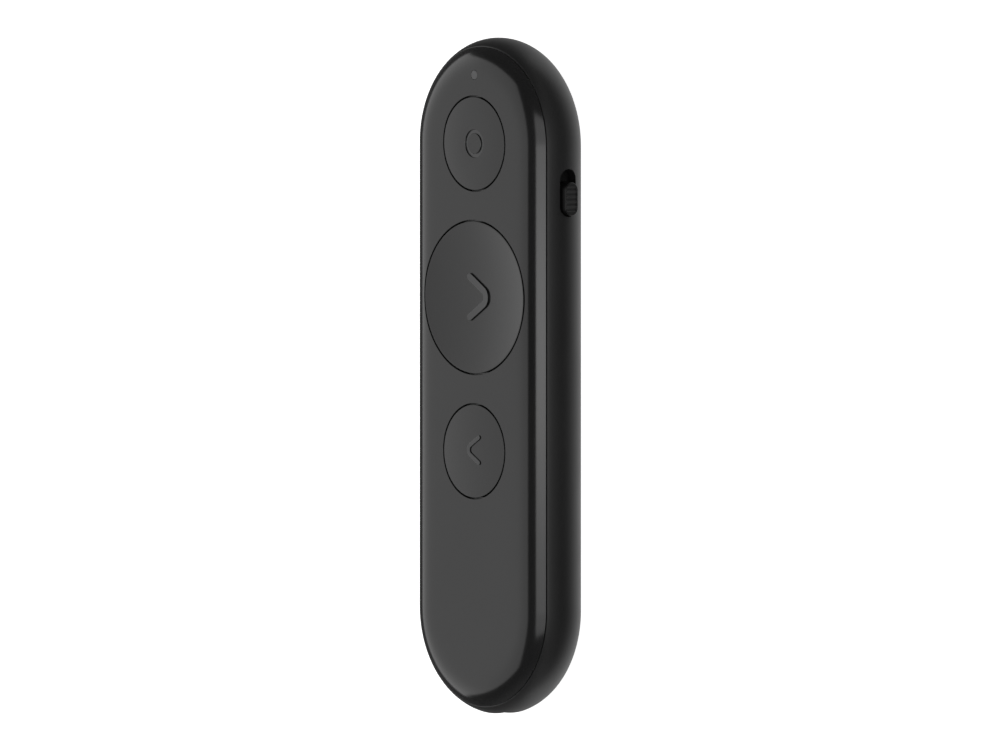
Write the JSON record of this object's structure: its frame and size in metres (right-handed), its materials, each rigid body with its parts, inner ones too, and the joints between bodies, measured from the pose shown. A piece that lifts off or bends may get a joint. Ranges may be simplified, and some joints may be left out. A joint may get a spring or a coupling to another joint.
{
  "type": "wireless presentation clicker",
  "caption": "Slim pill-shaped presentation remote with round face buttons, a side power switch and a charging port in its end.",
  "frame": {"origin": "middle of the flat back", "axes": "+Z the way the face looks, +Y along the length towards the status light, +X towards the power switch"},
  "size_m": [0.0358, 0.112, 0.0116],
  "materials": {
    "satin_black": "smooth semi-gloss moulded",
    "shell_black": "fine moulded satin",
    "button_black": "smooth semi-gloss moulded",
    "knob_black": "moulded matt",
    "light_grey": "smoked translucent",
    "inner_plastic": "moulded",
    "board_green": "solder mask",
    "chip_black": "moulded epoxy",
    "plated_steel": "plated sheet",
    "gold_contact": "gold plated",
    "cell_foil": "matt laminated foil",
    "foam_grey": "foam tape",
    "wire_red": "soft insulation",
    "ceramic_white": "fired"
  },
  "bodies": {
    "housing": {"back_switch_case": "plated_steel", "battery_cell": "cell_foil", "battery_connector": "ceramic_white", "battery_leads": "wire_red", "battery_tape": "foam_grey", "board_capacitors": "ceramic_white", "board_screws": "plated_steel", "button_frame": "inner_plastic", "cell_protection_board": "board_green", "charge_chip": "chip_black", "chip_antenna": "ceramic_white", "crystal": "plated_steel", "front_cover": "satin_black", "main_board": "board_green", "motion_sensor": "chip_black", "next_switch_case": "plated_steel", "pointer_switch_case": "plated_steel", "radio_chip": "chip_black", "rear_cover": "shell_black", "slide_switch_case": "plated_steel", "status_led": "ceramic_white", "status_light_pipe": "light_grey", "usb_port_contacts": "gold_contact", "usb_port_shell": "plated_steel", "usb_port_tongue": "inner_plastic"},
    "pointer_key": {"pointer_button": "button_black", "pointer_switch_plunger": "inner_plastic"},
    "next_key": {"next_button": "button_black", "next_switch_plunger": "inner_plastic"},
    "back_key": {"back_button": "button_black", "back_switch_plunger": "inner_plastic"},
    "power_knob": {"power_slider": "knob_black", "slide_switch_lever": "inner_plastic"}
  },
  "joints": [
    {"name": "pointer_press", "type": "slide", "parent": "housing", "child": "pointer_key", "axis": [0, 0, -1], "range_m": [0, 0.00035], "stiffness_N_per_m": 3000},
    {"name": "next_press", "type": "slide", "parent": "housing", "child": "next_key", "axis": [0, 0, -1], "range_m": [0, 0.00035], "stiffness_N_per_m": 3000},
    {"name": "back_press", "type": "slide", "parent": "housing", "child": "back_key", "axis": [0, 0, -1], "range_m": [0, 0.00035], "stiffness_N_per_m": 3000},
    {"name": "power_slide", "type": "slide", "parent": "housing", "child": "power_knob", "axis": [0, 1, 0], "range_m": [0, 0.002]}
  ]
}
